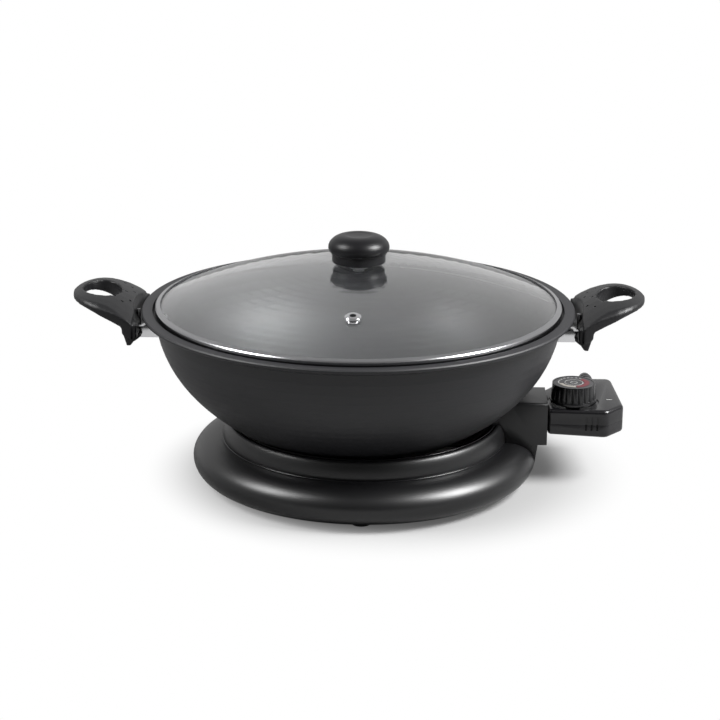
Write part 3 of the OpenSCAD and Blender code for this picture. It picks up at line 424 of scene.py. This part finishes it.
def applyModifier(obj, kind, **settings):
    mod = obj.modifiers.new(kind.lower(), kind)
    for key, value in settings.items():
        setattr(mod, key, value)
    pickOnly(obj)
    bpy.ops.object.modifier_apply(modifier=mod.name)


def freezePlace(obj):
    pickOnly(obj)
    bpy.ops.object.transform_apply(location=True, rotation=True, scale=True)


def outwardFaces(obj):
    pickOnly(obj)
    bpy.ops.object.mode_set(mode="EDIT")
    bpy.ops.mesh.select_all(action="SELECT")
    bpy.ops.mesh.remove_doubles(threshold=meshing["sealReach"])
    bpy.ops.mesh.normals_make_consistent(inside=False)
    bpy.ops.object.mode_set(mode="OBJECT")


def smoothShade(obj, degrees=35):
    pickOnly(obj)
    bpy.ops.object.shade_smooth_by_angle(angle=math.radians(degrees))


def finishPiece(obj, name, body, mat, replaced=()):
    obj.name = name
    obj.data.materials.clear()
    obj.data.materials.append(mat)
    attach(obj, body)
    if replaced:
        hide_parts(*replaced)


# a merged copy of a CAD node, in the same place
def mergedCopy(node):
    source = frame["nodes"][node]
    copy = bpy.data.objects.new(node + "Copy", source.data.copy())
    bpy.context.scene.collection.objects.link(copy)
    pickOnly(copy)
    if copy.data.has_custom_normals:
        bpy.ops.mesh.customdata_custom_splitnormals_clear()
    bpy.ops.object.mode_set(mode="EDIT")
    bpy.ops.mesh.select_all(action="SELECT")
    bpy.ops.mesh.remove_doubles(threshold=meshing["mergeReach"])
    bpy.ops.mesh.dissolve_limited(angle_limit=math.radians(meshing["levelAngle"]))
    bpy.ops.object.mode_set(mode="OBJECT")
    return copy


# softened mouldings: edges sharper than the angle are broken to each one's radius
edgeAngle = 38
edgeBreaks = {
    "base_shell": 0.0005, "socket_block": 0.0007, "control_top": 0.0005,
    "control_bottom": 0.0005, "dial": 0.0003, "bottom_cover": 0.0004,
    "bracket_left": 0.0003, "bracket_right": 0.0003,
}


def softenMouldings():
    for node, radius in edgeBreaks.items():
        copy = mergedCopy(node)
        applyModifier(copy, "BEVEL", width=radius, segments=2, limit_method="ANGLE",
                      angle_limit=math.radians(edgeAngle), use_clamp_overlap=True,
                      harden_normals=False)
        smoothShade(copy, 40)
        words = node.split("_")
        finishPiece(copy, words[0] + "".join(w.capitalize() for w in words[1:]) + "Soft",
                    frame["nodes"][node]["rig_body"], nodeFinish[node], (node,))


softenMouldings()
print("edges broken on", len(edgeBreaks), "mouldings")

# fine beads along the base's edges, one where the tiers meet and one at the lip
baseBeads = {
    "centreX": 0.0053,
    # radius of the ring, height, and radius of the bead
    "beads": {"ledgeBead": (0.1131, 0.0334, 0.0006), "lipBead": (0.1050, 0.0479, 0.0005)},
}


def buildBeads():
    for name, (reach, height, radius) in baseBeads["beads"].items():
        deselectAll()
        bpy.ops.mesh.primitive_torus_add(major_radius=reach, minor_radius=radius,
                                         major_segments=256, minor_segments=10,
                                         location=(baseBeads["centreX"], 0, height))
        bead = bpy.context.object
        freezePlace(bead)
        smoothShade(bead, 60)
        finishPiece(bead, name, "cooker", matBead)


buildBeads()
print("beads laid along", len(baseBeads["beads"]), "edges")

# handles
grip = {
    "voxel": 0.0008,
    "smoothing": 9,
    # the finger hole's funnel: its middle, its radii above and below, how far it is
    # stretched across, and its depth
    "holeX": 0.2015,
    "holeZ": 0.1475,
    "holeTop": 0.0154,
    "holeLow": 0.0140,
    "holeStretch": 1.44,
    "holeDepth": 0.024,
    # the square end facing the pan, and the flanks' lean
    "endX": 0.1735,
    "flankAt": (0.186, 0.0455),
    "flankLean": 13.5,
    # the blocks that cut them: their size, where the end's corners start beside the
    # middle, and how high the blocks stand
    "blockSize": 0.06,
    "cornerHalf": 0.0265,
    "cornerHeight": 0.135,
    "flankHeight": 0.145,
    # the wall under the end, from flank to flank, as x and z
    "wallHalf": 0.0462,
    "wall": [(0.1700, 0.1345), (0.1700, 0.1240), (0.1745, 0.1176), (0.1776, 0.1176),
             (0.1812, 0.1300), (0.1825, 0.1345)],
    # what is hollowed from the underside, as x and z, and how far to each side
    "hollowHalf": 0.07,
    "hollow": [(0.1812, 0.1000), (0.1812, 0.1322), (0.1910, 0.1368), (0.2020, 0.1416),
               (0.2100, 0.1444), (0.2170, 0.1458), (0.2300, 0.1466), (0.2300, 0.1000)],
    # the wall keeps this clear of the pan: radius and height, under the rim and beside it
    "clear": ((0.1656, 0.108), (0.1760, 0.135)),
    # above that it is cleared straight up: by what depth, centred how far above
    "clearDepth": 0.02,
    "clearRise": 0.0099,
    "dimpleRadius": 0.0013,
    "dimpleSink": 0.0003,
    # dimples near the pan, as distance from its axis and across
    "dimples": [(0.1785, -0.012), (0.1835, -0.021), (0.190, -0.016), (0.1835, 0.004),
                (0.1785, 0.014), (0.190, 0.010), (0.1815, 0.026), (0.188, 0.030)],
    # the grip's crest: its height at the pan, its slope, and how it bends and is crowned
    "panEnd": 0.176,
    "topAtPan": 0.1432,
    "slope": 0.662,
    "bend": 10.9,
    "crown": 2.5,
}


def gripTop(reach, across):
    run = reach - grip["panEnd"]
    height = grip["topAtPan"] + run * grip["slope"] - grip["bend"] * run * run
    return height - grip["crown"] * across * across


# joins the objects in the list into its first
def joinAll(objects):
    pickOnly(objects[0])
    for obj in objects:
        obj.select_set(True)
    bpy.ops.object.join()
    freezePlace(objects[0])
    return objects[0]


def cutAway(body, cutter):
    applyModifier(body, "BOOLEAN", operation="DIFFERENCE", object=cutter, solver="EXACT")
    bpy.data.objects.remove(cutter)


# oval funnel that the fingers reach through
def holeFunnel(sign):
    deselectAll()
    bpy.ops.mesh.primitive_cone_add(vertices=64, radius1=grip["holeLow"],
                                    radius2=grip["holeTop"], depth=grip["holeDepth"],
                                    location=(sign * grip["holeX"], 0, grip["holeZ"]))
    funnel = bpy.context.object
    funnel.scale.y = grip["holeStretch"]
    freezePlace(funnel)
    return funnel


# bar along Y with the given outline in x and z
def outlineBar(outline, sign, half):
    deselectAll()
    bpy.ops.mesh.primitive_circle_add(vertices=len(outline), fill_type="NGON")
    bar = bpy.context.object
    for vert, (x, z) in zip(bar.data.vertices, outline):
        vert.co = (sign * x, -half, z)
    bpy.ops.object.mode_set(mode="EDIT")
    bpy.ops.mesh.select_all(action="SELECT")
    bpy.ops.mesh.extrude_region_move(TRANSFORM_OT_translate={"value": (0, 2 * half, 0)})
    bpy.ops.object.mode_set(mode="OBJECT")
    outwardFaces(bar)
    return bar


# blocks that square off the end's corners and trim the flanks
def trimBlocks(sign):
    blocks = []
    size = grip["blockSize"]
    lean = math.radians(grip["flankLean"])
    x, y = grip["flankAt"]
    for side in (-1, 1):
        deselectAll()
        bpy.ops.mesh.primitive_cube_add(size=size, location=(
            sign * (grip["endX"] - size / 2), side * (grip["cornerHalf"] + size / 2),
            grip["cornerHeight"]))
        blocks.append(bpy.context.object)
        deselectAll()
        bpy.ops.mesh.primitive_cube_add(
            size=size, rotation=(0, 0, -sign * side * lean),
            location=(sign * (x + math.sin(lean) * size / 2),
                      side * (y + math.cos(lean) * size / 2), grip["flankHeight"]))
        blocks.append(bpy.context.object)
    return blocks


# wall under the end from flank to flank, hollowed to clear the pan
def endWall(sign):
    wall = outlineBar(grip["wall"], sign, grip["wallHalf"])
    (lowR, lowZ), (highR, highZ) = grip["clear"]
    deselectAll()
    bpy.ops.mesh.primitive_cone_add(vertices=256, radius1=lowR, radius2=highR,
                                    depth=highZ - lowZ, location=(0, 0, (lowZ + highZ) / 2))
    cutAway(wall, bpy.context.object)
    deselectAll()
    bpy.ops.mesh.primitive_cylinder_add(vertices=256, radius=highR,
                                        depth=grip["clearDepth"],
                                        location=(0, 0, highZ + grip["clearRise"]))
    cutAway(wall, bpy.context.object)
    return wall


def dimplePits(sign):
    pits = []
    for reach, across in grip["dimples"]:
        deselectAll()
        bpy.ops.mesh.primitive_uv_sphere_add(segments=16, ring_count=8,
                                             radius=grip["dimpleRadius"],
                                             location=(sign * reach, across,
                                                       gripTop(reach, across)
                                                       - grip["dimpleSink"]))
        pits.append(bpy.context.object)
    return joinAll(pits)


def buildGrip(side, sign):
    node = "handle_" + side
    body = mergedCopy(node)
    cutAway(body, holeFunnel(sign))
    for block in trimBlocks(sign):
        cutAway(body, block)
    cutAway(body, outlineBar(grip["hollow"], sign, grip["hollowHalf"]))
    joinAll([body, endWall(sign)])
    applyModifier(body, "REMESH", mode="VOXEL", voxel_size=grip["voxel"],
                  use_smooth_shade=True)
    applyModifier(body, "SMOOTH", factor=0.5, iterations=grip["smoothing"])
    cutAway(body, dimplePits(sign))
    smoothShade(body, 50)
    finishPiece(body, "grip" + side.capitalize(), "cooker", matHandle,
                (node,))


buildGrip("left", -1)
buildGrip("right", 1)
print("grips built")

# printed scale
dialPrint = {
    "lift": 0.00004,
    "thickness": 0.00012,
    # inner and outer radius, and where it starts and stops in degrees
    "arcs": {
        "scaleInnerRing": (0.0070, 0.0074, 0, 360),
        "scaleCentreRing": (0.0024, 0.0028, 0, 360),
        "scaleRed": (0.0084, 0.0124, -82, 52),
        "scalePale": (0.0090, 0.0122, -168, -86),
    },
    # dashes round the edge
    "dashes": 9,
    "dashFrom": 62,
    "dashTo": 186,
    "dashSpan": (0.0118, 0.0126),
    "dashWidth": 9,
    # degrees that a step of an arc spans, and the fewest steps it has
    "stepAngle": 5,
    "fewestSteps": 4,
}


def printMaterial(name, colour, shine):
    return mouldedMaterial(name, colour, {"Scale": 2600.0, "Depth": 0.05, "Shine": shine,
                                          "Patches": 0.05})


matWhitePrint = printMaterial("whitePrint", (0.45, 0.45, 0.44), 0.5)
matRedPrint = printMaterial("redPrint", (0.10, 0.010, 0.016), 0.45)
matPalePrint = printMaterial("palePrint", (0.30, 0.28, 0.25), 0.5)
arcInks = {"scaleRed": matRedPrint, "scalePale": matPalePrint}


# flat ring or part of one, spun from a short edge about the dial's axis
def printedArc(name, centre, inner, outer, start, stop, mat):
    x, y, z = centre
    bpy.ops.mesh.primitive_plane_add(size=1, location=(0, 0, 0))
    piece = bpy.context.object
    mesh = piece.data
    first = math.radians(start)
    for vert, (radius, up) in zip(mesh.vertices, ((inner, 0), (outer, 0), (inner, 1),
                                                  (outer, 1))):
        vert.co = (x + radius * math.cos(first), y + radius * math.sin(first),
                   z + up * dialPrint["thickness"])
    bpy.ops.object.mode_set(mode="EDIT")
    bpy.ops.mesh.select_all(action="SELECT")
    steps = max(dialPrint["fewestSteps"], int(abs(stop - start) / dialPrint["stepAngle"]))
    bpy.ops.mesh.spin(steps=steps, angle=math.radians(start - stop), center=centre,
                      axis=(0, 0, 1), use_auto_merge=abs(stop - start) >= 360)
    bpy.ops.mesh.select_all(action="SELECT")
    bpy.ops.object.mode_set(mode="OBJECT")
    freezePlace(piece)
    outwardFaces(piece)
    finishPiece(piece, name, "dial", mat)


def buildScale():
    low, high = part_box("dial_face")
    centre = ((low.x + high.x) / 2, (low.y + high.y) / 2, high.z + dialPrint["lift"])
    for name, (inner, outer, start, stop) in dialPrint["arcs"].items():
        printedArc(name, centre, inner, outer, start, stop, arcInks.get(name, matWhitePrint))
    inner, outer = dialPrint["dashSpan"]
    half = dialPrint["dashWidth"] / 2
    for k in range(dialPrint["dashes"]):
        share = k / (dialPrint["dashes"] - 1)
        turn = dialPrint["dashFrom"] + share * (dialPrint["dashTo"] - dialPrint["dashFrom"])
        printedArc("scaleDash%02d" % k, centre, inner, outer, turn - half, turn + half,
                   matWhitePrint)


buildScale()
print("scale printed")

# pointer mark
pointer = {
    "size": (0.0042, 0.0007, 0.00012),
    "place": (0.2005, 0.006),
    "turn": -8,
    "edge": 0.0002,
}


def buildPointer():
    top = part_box("control_top")[1].z
    x, y = pointer["place"]
    bpy.ops.mesh.primitive_cube_add(size=1, location=(x, y, top))
    mark = bpy.context.object
    mark.scale = pointer["size"]
    mark.rotation_euler.z = math.radians(pointer["turn"])
    freezePlace(mark)
    applyModifier(mark, "BEVEL", width=pointer["edge"], segments=2, affect="EDGES")
    smoothShade(mark)
    finishPiece(mark, "pointerMark", "control", matWhitePrint)


buildPointer()
print("pointer set")

# studio
studio = {
    "floorSize": 14.0,
    "floorColour": (0.30, 0.30, 0.30),
    # where the paper turns white: about this point, between these distances
    "floorCentre": (0.025, 0.01, 0.0),
    "floorFade": (0.122, 0.20),
    "floorLeast": 0.1,
    # strength of the air in front
    "airFront": 0.10,
    # what is added to it elsewhere: where that starts, where it is full, how much it is
    "airSides": (0.25, 0.95, 0.42),
    "airBack": (0.3, 0.95, 0.75),
    "airTop": (0.2, 0.95, 0.25),
    # two soft boxes: place and power, with one size and one point that both aim at
    "boxes": {"rightBox": ((1.08, -0.24, 1.08), 56), "leftBox": ((-1.02, -0.24, 1.08), 22)},
    "boxSize": 0.62,
    "boxAim": (0.0, 0.0, 0.05),
}


def buildBoxes():
    for name, (place, power) in studio["boxes"].items():
        bpy.ops.object.light_add(type="AREA", location=place)
        lamp = bpy.context.object
        lamp.name = name
        lamp.data.shape = "RECTANGLE"
        lamp.data.size = studio["boxSize"]
        lamp.data.size_y = studio["boxSize"]
        lamp.data.energy = power
        direction = Vector(studio["boxAim"]) - Vector(place)
        lamp.rotation_euler = direction.to_track_quat("-Z", "Y").to_euler()


# white paper that keeps the soft shadow near the object and runs out to pure white
def buildFloor():
    deselectAll()
    bpy.ops.mesh.primitive_plane_add(size=studio["floorSize"], location=(0, 0, 0))
    floor = bpy.context.object
    floor.name = "studioFloor"
    mat, tree = newTree("paperFloor")
    paper = addNode(tree, "ShaderNodeBsdfDiffuse", (0, 0))
    paper.inputs["Color"].default_value = (*studio["floorColour"], 1)
    white = addNode(tree, "ShaderNodeEmission", (0, -160))
    coords = addNode(tree, "ShaderNodeTexCoord", (-800, 240))
    reach = addNode(tree, "ShaderNodeVectorMath", (-600, 240), operation="DISTANCE")
    reach.inputs[1].default_value = studio["floorCentre"]
    fade = softStep(tree, (-400, 240), *studio["floorFade"], studio["floorLeast"])
    share = addNode(tree, "ShaderNodeMath", (-200, 300), operation="MULTIPLY")
    both = addNode(tree, "ShaderNodeMixShader", (260, 0))
    out = addNode(tree, "ShaderNodeOutputMaterial", (480, 0))
    link(tree, coords.outputs["Object"], reach.inputs[0])
    link(tree, reach.outputs["Value"], fade.inputs["Value"])
    link(tree, seenMask(tree, (-400, 460)), share.inputs[0])
    link(tree, fade.outputs[0], share.inputs[1])
    link(tree, share.outputs[0], both.inputs[0])
    link(tree, paper.outputs[0], both.inputs[1])
    link(tree, white.outputs[0], both.inputs[2])
    link(tree, both.outputs[0], out.inputs["Surface"])
    floor.data.materials.append(mat)


# soft air, dim in front and brighter at the sides and overhead, with plain white
# behind the object
def buildWorld():
    world = bpy.data.worlds.new("studioAir")
    bpy.context.scene.world = world
    world.use_nodes = True
    tree = world.node_tree
    tree.nodes.clear()
    coords = addNode(tree, "ShaderNodeTexCoord", (-1200, 0))
    parts = addNode(tree, "ShaderNodeSeparateXYZ", (-1000, 0))
    across = addNode(tree, "ShaderNodeMath", (-820, 80), operation="ABSOLUTE")
    air = {}
    for height, key in ((80, "airSides"), (340, "airBack"), (-180, "airTop")):
        start, full, strength = studio[key]
        air[key] = softStep(tree, (-640, height), start, full, most=strength)
    added = addNode(tree, "ShaderNodeMath", (-460, 0), operation="ADD")
    total = addNode(tree, "ShaderNodeMath", (-300, 0), operation="ADD")
    front = addNode(tree, "ShaderNodeMath", (-300, 160), operation="ADD")
    front.inputs[1].default_value = studio["airFront"]
    soft = addNode(tree, "ShaderNodeBackground", (-140, 0))
    white = addNode(tree, "ShaderNodeBackground", (-140, -160))
    both = addNode(tree, "ShaderNodeMixShader", (240, 0))
    out = addNode(tree, "ShaderNodeOutputWorld", (460, 0))
    link(tree, coords.outputs["Generated"], parts.inputs[0])
    link(tree, parts.outputs["X"], across.inputs[0])
    link(tree, across.outputs[0], air["airSides"].inputs["Value"])
    link(tree, parts.outputs["Z"], air["airTop"].inputs["Value"])
    link(tree, air["airSides"].outputs[0], added.inputs[0])
    link(tree, air["airTop"].outputs[0], added.inputs[1])
    link(tree, parts.outputs["Y"], air["airBack"].inputs["Value"])
    link(tree, air["airBack"].outputs[0], front.inputs[0])
    link(tree, added.outputs[0], total.inputs[0])
    link(tree, front.outputs[0], total.inputs[1])
    link(tree, total.outputs[0], soft.inputs["Strength"])
    link(tree, seenMask(tree, (-200, 260)), both.inputs[0])
    link(tree, soft.outputs[0], both.inputs[1])
    link(tree, white.outputs[0], both.inputs[2])
    link(tree, both.outputs[0], out.inputs["Surface"])


buildBoxes()
buildFloor()
buildWorld()
bpy.context.scene.view_settings.view_transform = "Standard"
print("studio ready")
